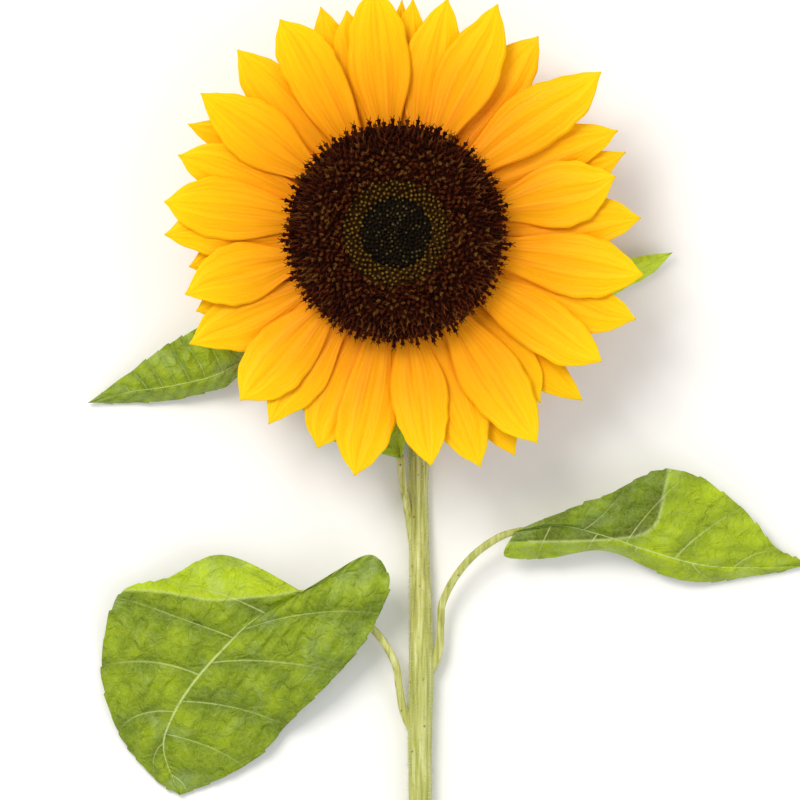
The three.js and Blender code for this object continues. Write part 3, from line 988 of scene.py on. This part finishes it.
@dataclass
class Disc:
    """The disc: a bed with hundreds of florets set in the golden-angle spiral."""

    axis: Vector
    florets: int = 1500
    crowding: float = 0.57
    bed_drop: float = 1.4 * MM
    bed_rings: int = 8
    bed_margin: float = 1.2 * MM
    fringe: float = 1.9 * MM
    seam: float = 0.25 * MM
    jitter: float = 0.25 * MM
    ring_steps: int = 72
    brown: FloretFlesh = field(default_factory=lambda: FloretFlesh(
        "open_floret_tubes", "#280a02", "#5c240a", "#8f6426"))
    gold: FloretFlesh = field(default_factory=lambda: FloretFlesh(
        "pollen_dusted_florets", "#2a1604", "#5a3c0a", "#80621a"))
    dark: FloretFlesh = field(default_factory=lambda: FloretFlesh(
        "closed_bud_skin", "#120b03", "#2a1c07", "#57502c"))

    def rim(self) -> float:
        """The disc's radius."""
        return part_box("disc_open_florets")[1][0] - self.axis.x

    def bed(self, node: str) -> tuple[Shape, Callable[[float], float], float, float]:
        """Spins the bed that a group of florets stands on.

        Args:
            node: the CAD node of the group.

        Returns:
            The bed, a function of radius that gives the CAD solid's height,
            and the group's inner and outer radius.
        """
        solid = cad_copy(node)
        tree = BVHTree.FromBMesh(solid)
        reaches = [(vertex.co.xy - self.axis.xy).length for vertex in solid.verts]
        low = min(vertex.co.z for vertex in solid.verts)
        solid.free()
        inner, outer = min(reaches), max(reaches)
        inner = 0.0 if inner < 1 * MM else inner

        def height(radius: float) -> float:
            """The solid's top at a radius."""
            kept = min(max(radius, inner + 0.15 * MM), outer - 0.5 * MM)
            start = Vector((self.axis.x + kept, self.axis.y + 0.01 * MM, 1.0))
            hit = tree.ray_cast(start, -UP)[0]
            return hit.z if hit else low

        reach = outer - self.bed_margin if node == "disc_open_florets" else outer
        radii = [blend(inner, reach, ring / self.bed_rings) for ring in range(self.bed_rings + 1)]
        profile = [(radius, height(radius) - self.bed_drop) for radius in radii]
        profile += [(reach, low + 0.1 * MM), (inner, low + 0.1 * MM)]
        shape = spun(profile, True, self.ring_steps, 0.005 * MM, self.axis)
        tone = shape.verts.layers.float.new("tone")
        for vertex in shape.verts:
            vertex[tone] = 0.05
        return shape, height, inner, outer

    def spots(self, inner: float, outer: float) -> list[tuple[float, float]]:
        """The florets of one ring of the spiral.

        Args:
            inner: the ring's inner radius.
            outer: the ring's outer radius.

        Returns:
            The radius and angle of each floret in the ring.
        """
        edge = self.rim() - self.fringe
        found = []
        for number in range(self.florets):
            radius = edge * ((number + 0.5) / self.florets) ** self.crowding
            if inner - self.seam <= radius < outer + self.seam:
                found.append((radius, number * GOLDEN_ANGLE))
        return found

    def plant(
        self, node: str, name: str, finish: FloretFlesh, slot: Slot, template: Template,
        stand: Callable[[float, random.Random], Stand],
    ) -> Piece:
        """Plants one group of florets on its bed.

        Args:
            node: the CAD node of the group.
            name: the piece's name.
            finish: the florets' finish.
            slot: the record's slot.
            template: the floret that is repeated.
            stand: says how each floret stands.

        Returns:
            The planted piece.
        """
        shape, height, inner, outer = self.bed(node)
        rim = self.rim()
        draw = random.Random(len(node))
        for radius, angle in self.spots(inner, outer):
            pose = stand(ease(radius, 0.62 * rim, rim), draw)
            angle += draw.uniform(-self.jitter, self.jitter) / max(radius, 1 * MM)
            radius += draw.uniform(-self.jitter, self.jitter)
            foot = Vector((math.cos(angle) * radius, math.sin(angle) * radius, 0)) + self.axis
            foot.z = height(radius) - self.bed_drop - 0.2 * MM
            matrix = (
                Matrix.Translation(foot)
                @ Matrix.Rotation(angle, 4, "Z")
                @ Matrix.Rotation(pose.lean, 4, "Y")
                @ Matrix.Rotation(draw.uniform(0, math.tau), 4, "Z")
                @ Matrix.Diagonal((pose.size, pose.size, pose.size * draw.uniform(0.85, 1.15), 1))
            )
            template.stamp(shape, matrix, pose.tone, pose.tip)
        template.discard()
        return settle(shape, name, [finish.material()], slot, node, smooth=False)

    def build(self) -> list[Piece]:
        """Builds the open, the opening and the closed florets."""
        opening, closed = bud(1.05 * MM, 3.0 * MM), bud(1.1 * MM, 2.4 * MM)
        groups = (
            ("disc_open_florets", "open_florets", self.brown, Slot.BROWN, open_floret(), stand_open),
            ("disc_opening_florets", "opening_florets", self.gold, Slot.GOLD, opening, stand_opening),
            ("disc_closed_buds", "closed_buds", self.dark, Slot.BUD, closed, stand_closed),
        )
        return [self.plant(*group) for group in groups]


# ---- Receptacle and stem ---------------------------------------------------


@dataclass
class Receptacle:
    """The fleshy green head behind the disc, ribbed where the bracts grow from it."""

    axis: Vector
    ribs: int = 21
    rings: int = 48
    rib_height: float = 0.5 * MM
    skin: LeafBlade = field(default_factory=lambda: LeafBlade(
        "receptacle_skin", "#425412", "#5d7420", "#8ba33a", "#b4c46a", "#ccd89c",
        roughness=0.6, sheen=0.4, cell=2.6 * MM))

    def build(self) -> list[Piece]:
        """Builds the receptacle by spinning the outline of its CAD solid."""
        solid = cad_copy("receptacle")
        tree = BVHTree.FromBMesh(solid)
        solid.free()
        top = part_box("receptacle")[1][2]
        start = Vector((self.axis.x, self.axis.y, top - 1.5 * MM))
        profile = []
        for ring in range(self.rings + 1):
            turn = math.pi * (ring / self.rings - 0.5)
            hit = tree.ray_cast(start, Vector((math.cos(turn), 0.001, math.sin(turn))))[0] or start
            profile.append((max(0.0, hit.x - self.axis.x), hit.z))
        shape = spun(profile, False, self.ribs * 6, 0.02 * MM, self.axis)
        phase, side, tone = (shape.verts.layers.float.new(name) for name in ("phase", "side", "tone"))
        for vertex in shape.verts:
            offset = vertex.co.xy - self.axis.xy
            rib = math.cos(math.atan2(offset.y, offset.x) * self.ribs)
            rib *= ease(offset.length, 8 * MM, 22 * MM) * ease(top - vertex.co.z, 0, 4 * MM)
            # Painted light and shade: the tone is lighter on the rib crests and darker in the grooves between
            # them.
            vertex[phase], vertex[side], vertex[tone] = 0.5, 1.0, 0.15 * rib
            vertex.co.z += rib * self.rib_height
        return [settle(shape, "green_receptacle", [self.skin.material()], Slot.BRACT, "receptacle")]


@dataclass
class Stem:
    """The stem: ribbed, hairy, bent at the neck and cut across at its end."""

    # x and y from the disc's axis, height and radius, in millimetres.
    stations: tuple[tuple[float, float, float, float], ...] = (
        (8.6, -246, 3.9, 3.9), (8.3, -192, 3.9, 3.9), (8.2, -168, 4.1, 4.1), (8.7, -143, 4.2, 4.2),
        (7.9, -108, 3.5, 3.5), (7.5, -90, 3.4, 3.4), (7.6, -70, 3.4, 3.4), (6.6, -46, 3.5, 3.5),
        (4.4, -27, 4.6, 3.9), (2, -12.5, 7.4, 4.3), (0.6, -4, 11.6, 4.8), (0, -0.1, 16.7, 5.4),
        (0, 0, 19.7, 6),
    )
    around: int = 60
    along: int = 320
    ribs: float = 0.28 * MM
    swell: float = 0.2 * MM
    pith_wall: float = 0.7 * MM
    hairs: int = 5000
    hair_length: float = 1.5 * MM
    hair_radius: float = 0.07 * MM
    skin: StemSkin = field(default_factory=StemSkin)
    fuzz: StemHair = field(default_factory=StemHair)

    def build(self) -> list[Piece]:
        """Builds the stem as a rolled sheet along its stations and sets hairs on it."""
        route = placed([station[:3] for station in self.stations])
        girth = [Vector((station[3] * MM, 0, 0)) for station in self.stations]

        def place(at: float, side: float) -> Vector:
            """Places one point of the skin."""
            turn = side * math.pi
            centre, aside, above = crossing(route, at, 0.004)
            rim = Vector((math.cos(turn) * 5, math.sin(turn) * 5, centre.y / (40 * MM)))
            ribs = noise.noise(rim) * self.ribs
            swell = noise.noise(Vector((0, centre.y / (16 * MM), 3.7))) * self.swell
            radius = through(girth, at).x + (ribs + swell) * ease(at, 0.0, 0.02)
            point = centre + (aside * math.sin(turn) + above * math.cos(turn)) * radius
            point.z = max(point.z, 0.0)
            return point

        shape = bent_grid(self.around, self.along, place, {"pith": lambda at, side: 0.0})
        cut = min(close_tube(shape, self.around), key=lambda face: face.calc_center_median().y)
        bmesh.ops.inset_individual(shape, faces=[cut], thickness=self.pith_wall, depth=-0.25 * MM)
        pith = shape.verts.layers.float["pith"]
        for vertex in cut.verts:
            vertex[pith] = 1.0
        self.grow_hairs(shape)
        return [settle(shape, "hairy_stem", [self.skin.material(), self.fuzz.material()], Slot.STEM, "stem")]

    def grow_hairs(self, shape: Shape) -> None:
        """Sets fine hairs all over the stem.

        Args:
            shape: the stem, which gains the hairs.
        """
        hair = bmesh.new()
        bmesh.ops.create_cone(
            hair, cap_ends=False, segments=3, radius1=self.hair_radius, radius2=0.0, depth=self.hair_length,
            matrix=Matrix.Translation((0, 0, self.hair_length * 0.45)),
        )
        bmesh.ops.remove_doubles(hair, verts=hair.verts[:], dist=0.001 * MM)
        for face in hair.faces:
            face.material_index = 1
        template = Template.of_shape(hair, "stem_hair")
        draw = random.Random(7)
        faces = [face for face in shape.faces if abs(face.normal.y) < 0.9]
        spots = []
        for face in draw.choices(faces, [face.calc_area() for face in faces], k=self.hairs):
            corners = [vertex.co for vertex in face.verts]
            shares = [draw.random() for _ in corners]
            spot = sum((c * s for c, s in zip(corners, shares)), Vector((0, 0, 0))) / sum(shares)
            spots.append((spot, face.normal.copy()))
        for spot, normal in spots:
            tilt = Vector([draw.uniform(-0.6, 0.6) for _ in range(3)])
            turn = (normal + tilt).to_track_quat("Z", "Y").to_matrix().to_4x4()
            matrix = Matrix.Translation(spot) @ turn @ Matrix.Diagonal((1, 1, draw.uniform(0.4, 1.0), 1))
            template.stamp(shape, matrix)
        template.discard()
        for vertex in shape.verts:
            vertex.co.z = max(vertex.co.z, 0.0)


# ---- Leaves ----------------------------------------------------------------


@dataclass
class Leaf:
    """One leaf: a blade between two margins, and the stalk that carries it.

    Its curves are given in millimetres from the disc's axis and up
    from the surface that the flower lies on.
    """

    node: str
    midrib: Points
    left: Points
    right: Points
    stalk: Points
    veins: float = 8
    sweep: float = 0.2
    pucker: float = 1.2 * MM
    ruffle: float = 0.8 * MM
    wrinkle: float = 0.42 * MM
    teeth: int = 22
    tooth: float = 1.0 * MM
    across: int = 120
    along: int = 160
    thickness: float = 0.45 * MM
    stalk_radius: float = 1.35 * MM
    tone: float = 0.0
    # A crease raises a ridge in the blade; past it the blade is painted lighter or darker, and a painted
    # highlight runs along it.
    crease: Points = ()
    crease_from: float = -1.0
    crease_height: float = 2.0 * MM
    crease_painted_light: float = 0.3
    crease_reach: float = 60 * MM
    crease_gleam: float = 0.4
    crease_steps: int = 30

    def vein_phase(self, along: float, side: float) -> float:
        """Counts the side veins: a whole number on each vein."""
        reach = abs(side) ** 1.2
        return (along - self.sweep * reach * (1 - 0.6 * along)) * self.veins + (0.5 if side < 0 else 0.2)

    def blade(self) -> Shape:
        """Builds the blade.

        Returns:
            The blade's upper sheet with its vein and tone attributes.
        """
        rib, left, right = placed(self.midrib), placed(self.left), placed(self.right)
        steps = range(self.crease_steps + 1) if self.crease else ()
        corners = placed(self.crease)
        line = [through(corners, step / self.crease_steps).xy for step in steps]
        seed = sum(ord(letter) for letter in self.node)

        def spread(along: float, side: float) -> Vector:
            """The way from the midrib to the margin on one side."""
            return through(left if side < 0 else right, along) - through(rib, along)

        def past(point: Vector, side: float) -> float:
            """How far a point lies past the crease, below 0 where there is none."""
            return past_line(line, point) if side >= self.crease_from else -1.0

        def past_flat(along: float, side: float) -> float:
            """How far a point of the flat blade lies past the crease."""
            return past(through(rib, along) + spread(along, side) * abs(side), side)

        def place(along: float, side: float) -> Vector:
            """Places one point of the blade."""
            way = spread(along, side)
            phase = self.vein_phase(along, side)
            saw = 1 - (self.teeth * (along + 0.02 * math.sin(13 * along + seed + side)) % 1.0)
            saw *= 0.6 + 0.4 * math.sin(41 * along + seed)
            reach = abs(side)
            if way.length > 2 * MM:
                reach += self.tooth * saw * ease(reach, 0.86, 1.0) * ease(along, 0.12, 0.3) / way.length
            point = through(rib, along) + way * reach
            width = min(1.0, way.length / (22 * MM))
            bulge = abs(math.sin(math.pi * phase)) ** 0.7 * self.pucker * ease(abs(side), 0.02, 0.3)
            patch = noise.noise(Vector((point.x, point.y, seed * MM)) / (9 * MM)) * self.pucker * 0.6
            arch = math.sin(math.pi * abs(side)) * 0.6 * MM
            fold = math.sin(abs(side) * way.length / (1.1 * MM) + 3 * patch / MM)
            fold *= self.wrinkle * abs(math.sin(math.pi * phase)) * ease(abs(side), 0.05, 0.25)
            wave = math.sin(math.tau * (along * 4 + 0.3 * side) + seed) * self.ruffle * abs(side) ** 2
            valley = -0.5 * MM * math.exp(-(abs(side) * 14) ** 2)
            point.z += (bulge * (1 - 0.5 * abs(side)) + wave + patch + fold) * width + arch + valley * width
            beyond = past(point, side)
            falloff = 5 * MM if beyond < 0 else 2.5 * MM
            point.z += math.exp(-abs(beyond) / falloff) * self.crease_height
            point.z = max(point.z, self.thickness + 0.2 * MM)
            return point

        def painted_light_and_shade(along: float, side: float) -> float:
            """The blade's tone, which is painted light and shade: puckers lighter, the valleys at the side
            veins darker, and the blade past a crease lighter or darker.
            """
            beyond = past_flat(along, side)
            crease_light_share = ease(beyond, -0.6 * MM, 0.6 * MM) * math.exp(-max(0, beyond) / self.crease_reach)
            bulge_light_share = abs(math.sin(math.pi * self.vein_phase(along, side))) - 0.6
            return self.tone + self.crease_painted_light * crease_light_share + 0.14 * bulge_light_share

        def painted_crease_highlight(along: float, side: float) -> float:
            """A painted highlight: the blade is whitish along its crease."""
            return self.crease_gleam * math.exp(-(past_flat(along, side) / (0.45 * MM)) ** 2)

        return face_up(bent_grid(self.across, self.along, place, {
            "phase": self.vein_phase, "side": lambda along, side: side, "tone": painted_light_and_shade, "pale": painted_crease_highlight,
        }))

    def add_stalk(self, blade: Shape) -> None:
        """Adds the stalk, which runs on beneath the midrib, to the blade's mesh.

        Args:
            blade: the blade, which gains the stalk.
        """
        rib = placed(self.midrib)
        route = placed(self.stalk) + [through(rib, at) - UP * 1.5 * MM for at in (0.0, 0.06, 0.2, 0.4)]
        around = 10

        def place(at: float, side: float) -> Vector:
            """Places one point of the stalk, with a channel along its top."""
            turn = side * math.pi
            centre, aside, above = crossing(route, at, 0.01)
            foot = 1 + 0.55 * (1 - ease(at, 0.02, 0.16))
            radius = self.stalk_radius * foot * blend(1, 0.35, ease(at, 0.55, 1.0))
            channel = 1 - 0.25 * max(0.0, math.cos(turn)) ** 4
            point = centre + (aside * math.sin(turn) + above * math.cos(turn) * channel) * radius
            point.z = max(point.z, 0.1 * MM)
            return point

        tube = bent_grid(around, 60, place, {
            "phase": lambda at, side: 0.5,
            "side": lambda at, side: 0.0,
            "tone": lambda at, side: 0.1 * math.cos(math.pi * side * 3),
        })
        close_tube(tube, around)
        for face in tube.faces:
            face.material_index = 2
        mesh = to_mesh(tube, "stalk")
        blade.from_mesh(mesh)
        bpy.data.meshes.remove(mesh)

    def build(self, materials: Sequence[bpy.types.Material]) -> Piece:
        """Builds the leaf.

        Args:
            materials: the finishes of the upper side, the underside and the stalk.

        Returns:
            The leaf.
        """
        blade = self.blade()
        lower = bmesh.ops.duplicate(blade, geom=blade.verts[:] + blade.edges[:] + blade.faces[:])["geom"]
        low_verts = [item for item in lower if isinstance(item, bmesh.types.BMVert)]
        low_faces = [item for item in lower if isinstance(item, bmesh.types.BMFace)]
        bmesh.ops.translate(blade, vec=(0, 0, -self.thickness), verts=low_verts)
        bmesh.ops.reverse_faces(blade, faces=low_faces)
        for face in low_faces:
            face.material_index = 1
        bmesh.ops.bridge_loops(blade, edges=[edge for edge in blade.edges if edge.is_boundary])
        self.add_stalk(blade)
        return settle(blade, f"green_{self.node}", materials, Slot.LEAF, self.node)


@dataclass
class Foliage:
    """The five leaves along the stem."""

    upper: LeafBlade = field(default_factory=lambda: LeafBlade(
        "leaf_blade_upper_skin", "#566300", "#697f00", "#aac000", "#cce022", "#c6d684"))
    under: LeafBlade = field(default_factory=lambda: LeafBlade(
        "leaf_blade_underside", "#66802c", "#7f9a3c", "#a4ba5c", "#c4d488", "#d9e0b8",
        roughness=0.65, sheen=0.5))
    stalk: StemSkin = field(default_factory=lambda: StemSkin("leaf_stalk_skin"))

    def leaves(self) -> list[Leaf]:
        """The leaves and their curves.

        Returns:
            The leaves, largest first.
        """
        lower_left = Leaf(
            node="leaf_lower_left",
            midrib=((-30.6, -121.4, 14), (-47.3, -130.2, 15), (-56.8, -138.7, 13.5), (-68.7, -152, 10.5),
                    (-76.2, -164.2, 7.5), (-78.9, -175.1, 4.5), (-73.4, -190.4, 1.4)),
            left=((-30.6, -121.4, 14), (-9.5, -108.4, 17), (-2.6, -120, 16), (-14, -142, 14),
                  (-34, -162.9, 7), (-50, -179.4, 2.4), (-73.4, -190.4, 1.4)),
            right=((-30.6, -121.4, 14), (-58, -108.6, 10), (-78, -116.8, 8), (-93, -121.5, 6),
                   (-99.8, -143, 2.4), (-96, -164.9, 1.4), (-84.6, -181.9, 1.4), (-73.4, -190.4, 1.4)),
            stalk=((6.5, -169, 4.4), (2.5, -161, 5.2), (1.2, -154, 6.4), (-0.6, -144.5, 8),
                   (-7.5, -134, 9.4), (-18, -127.5, 11)),
            veins=6,
            pucker=1.5 * MM,
            wrinkle=0.62 * MM,
            tone=0.04,
            # Past this crease the rear lobe is painted lighter, and a painted highlight runs along the
            # crease.
            crease=((-98, -122, 0), (-91.8, -120.7, 0), (-80, -121, 0), (-62, -123.6, 0), (-45, -122.5, 0),
                    (-30.6, -120.2, 0)),
            crease_from=0.0,
        )
        right = Leaf(
            node="leaf_right",
            midrib=((40.5, -100.6, 12), (55.8, -98.6, 13), (71.4, -102.3, 12.5), (85, -107.1, 11),
                    (104.7, -112.3, 8), (124, -113, 4.5), (141, -112, 1.4)),
            left=((40.5, -100.6, 12), (48.3, -97, 14), (69.4, -89.1, 16), (92.8, -79.6, 13),
                  (114, -90, 9), (129, -106.2, 5), (141, -112, 1.4)),
            right=((40.5, -100.6, 12), (37, -109, 8), (52, -109.6, 7), (72, -107.4, 7),
                   (98, -117.4, 3.5), (122, -115.8, 1.4), (141, -112, 1.4)),
            stalk=((10.8, -149, 4.4), (14.5, -141, 5.2), (15.2, -132, 6), (15.8, -125, 7), (20, -116.3, 8.3),
                   (26.5, -108.5, 9.7), (34.3, -102.9, 11)),
            veins=6,
            pucker=1.1 * MM,
            tone=0.2,
            # Past this crease the hollow is painted darker, and a painted highlight runs along the crease.
            crease=((45, -104, 0), (53.4, -104, 0), (70.7, -103.4, 0), (81.9, -102, 0), (87, -98.9, 0),
                    (89.4, -93.8, 0), (92.1, -79.9, 0), (92.5, -76, 0)),
            crease_painted_light=-0.4,
            crease_reach=18 * MM,
            crease_gleam=0.6,
        )
        upper_left = Leaf(
            node="leaf_upper_left",
            midrib=((-46.6, -39.4, 12), (-59.8, -47.2, 12), (-70.7, -50.3, 10.5), (-80, -52, 8.5),
                    (-91.5, -53.6, 5.5), (-104.7, -57.1, 1.8)),
            left=((-46.6, -39.4, 12), (-56, -50.4, 9), (-66, -53.8, 6), (-77, -56.2, 3),
                  (-90, -57, 1.6), (-104.7, -57.1, 1.8)),
            right=((-46.6, -39.4, 12), (-58, -28.5, 13), (-71.4, -34.3, 11), (-80.5, -39.6, 8.5),
                   (-91, -47.4, 5), (-104.7, -57.1, 1.8)),
            stalk=((6.5, -64, 4), (2.1, -61, 3.6), (-6, -60, 3.2), (-20, -56, 3.6), (-34, -48.5, 6.4)),
            veins=10,
            pucker=1.5 * MM,
            teeth=10,
            tooth=0.8 * MM,
            tone=0.06,
        )
        upper_right = Leaf(
            node="leaf_upper_right",
            midrib=((56, -34, 9), (66, -23, 9.5), (76, -15, 9), (86, -9.8, 7), (94, -6, 4)),
            left=((56, -34, 9), (58, -22, 11), (68, -12, 11), (82, -7.6, 8), (94, -6, 4)),
            right=((56, -34, 9), (66, -27, 6), (76, -19.2, 5), (86.5, -13.4, 4), (94, -6, 4)),
            stalk=((8.2, -65, 4), (12.4, -62, 4.2), (22, -58.5, 4.6), (36, -50, 6), (48, -40.6, 8)),
            # Its high tone is painted light: it lifts a blade that lies in the petals' shade.
            veins=7, pucker=0.8 * MM, teeth=8, tooth=0.5 * MM, tone=0.6, across=48, along=70,
        )
        small = Leaf(
            node="leaf_small",
            midrib=((1.6, -76, 9.6), (-0.7, -70.5, 11), (-7, -65.5, 12), (-19, -61, 11.5), (-33, -57.5, 9.6)),
            left=((1.6, -76, 9.6), (-5.6, -74, 10), (-13, -71, 10), (-23, -69, 9.6), (-33, -57.5, 9.6)),
            right=((1.6, -76, 9.6), (3.4, -68.5, 13), (1.4, -59, 15), (-17, -56.4, 13), (-33, -57.5, 9.6)),
            stalk=((6.8, -107, 4.2), (4.6, -97, 5.4), (3.4, -90, 7), (2.2, -83, 8.6)),
            veins=7, pucker=0.6 * MM, teeth=8, tooth=0.4 * MM, across=48, along=70, tone=0.2,
        )
        return [lower_left, right, upper_left, upper_right, small]

    def build(self) -> list[Piece]:
        """Builds every leaf."""
        materials = [self.upper.material(), self.under.material(), self.stalk.material()]
        return [leaf.build(materials) for leaf in self.leaves()]


# ---- Stage -----------------------------------------------------------------


@dataclass
class Stage:
    """The pale floor, the soft light and the camera that looks straight down."""

    axis: Vector
    view_width: float = 272 * MM
    view_shift: tuple[float, float] = (1.4 * MM, -56.1 * MM)
    camera_height: float = 2.5
    sensor: float = 36.0
    floor_size: float = 6.0
    glow: float = 0.7

    def build_floor(self) -> None:
        """Builds the floor, just below the surface that the flower lies on."""
        shape = bmesh.new()
        bmesh.ops.create_grid(shape, x_segments=4, y_segments=4, size=self.floor_size / 2)
        bmesh.ops.translate(shape, vec=(0, 0, -0.2 * MM), verts=shape.verts[:])
        mesh = to_mesh(shape, "floor")
        mesh.materials.append(Backdrop().material())
        add_to_scene("floor", mesh)

    def add_light(self, name: str, place: Vector, size: float, power: float, colour: str) -> None:
        """Adds a soft square light that faces the flower.

        Args:
            name: the light's name.
            place: where it stands, from the middle of the flower.
            size: the length of its side.
            power: its power in watts.
            colour: its colour.
        """
        data = bpy.data.lights.new(name, "AREA")
        data.size = size
        data.energy = power
        data.color = linear(colour)[:3]
        light = add_to_scene(name, data)
        light.location = Vector((self.axis.x, self.axis.y - 50 * MM, 0)) + place
        light.rotation_euler = (-place).to_track_quat("-Z", "Y").to_euler()

    def build_lights(self) -> None:
        """Builds the lights and the pale surroundings."""
        self.add_light("key_light", Vector((-0.5, 0.6, 1.1)), 0.6, 12.0, "#fffaf2")
        self.add_light("fill_light", Vector((0.9, -0.5, 0.9)), 0.9, 3.0, "#f4f8ff")
        world = bpy.data.worlds.new("pale_surroundings")
        world.use_nodes = True
        background = world.node_tree.nodes["Background"]
        background.inputs["Color"].default_value = linear("#ffffff")
        background.inputs["Strength"].default_value = self.glow
        bpy.context.scene.world = world

    def build_camera(self) -> None:
        """Builds the camera, straight above with its top towards the head."""
        data = bpy.data.cameras.new("camera")
        data.sensor_width = self.sensor
        data.lens = self.sensor * self.camera_height / self.view_width
        data.clip_start = 0.01
        data.clip_end = 20
        camera = add_to_scene("camera", data)
        across, up = self.view_shift
        camera.location = (self.axis.x + across, self.axis.y + up, self.camera_height)
        bpy.context.scene.camera = camera

    def build(self) -> None:
        """Builds the floor, the lights and the camera."""
        self.build_floor()
        self.build_lights()
        self.build_camera()
        bpy.context.scene.view_settings.view_transform = "Standard"


def main() -> None:
    """Builds the stage and the flower, and reports each piece."""
    logging.basicConfig(level=logging.INFO, format="%(message)s")
    axis = disc_axis()
    Stage(axis).build()
    for maker in (Receptacle(axis), Disc(axis), Petals(axis), Bracts(axis), Stem(), Foliage()):
        for piece in maker.build():
            log.info("built %s with %d faces", piece.name, len(piece.data.polygons))


if __name__ == "__main__":
    main()
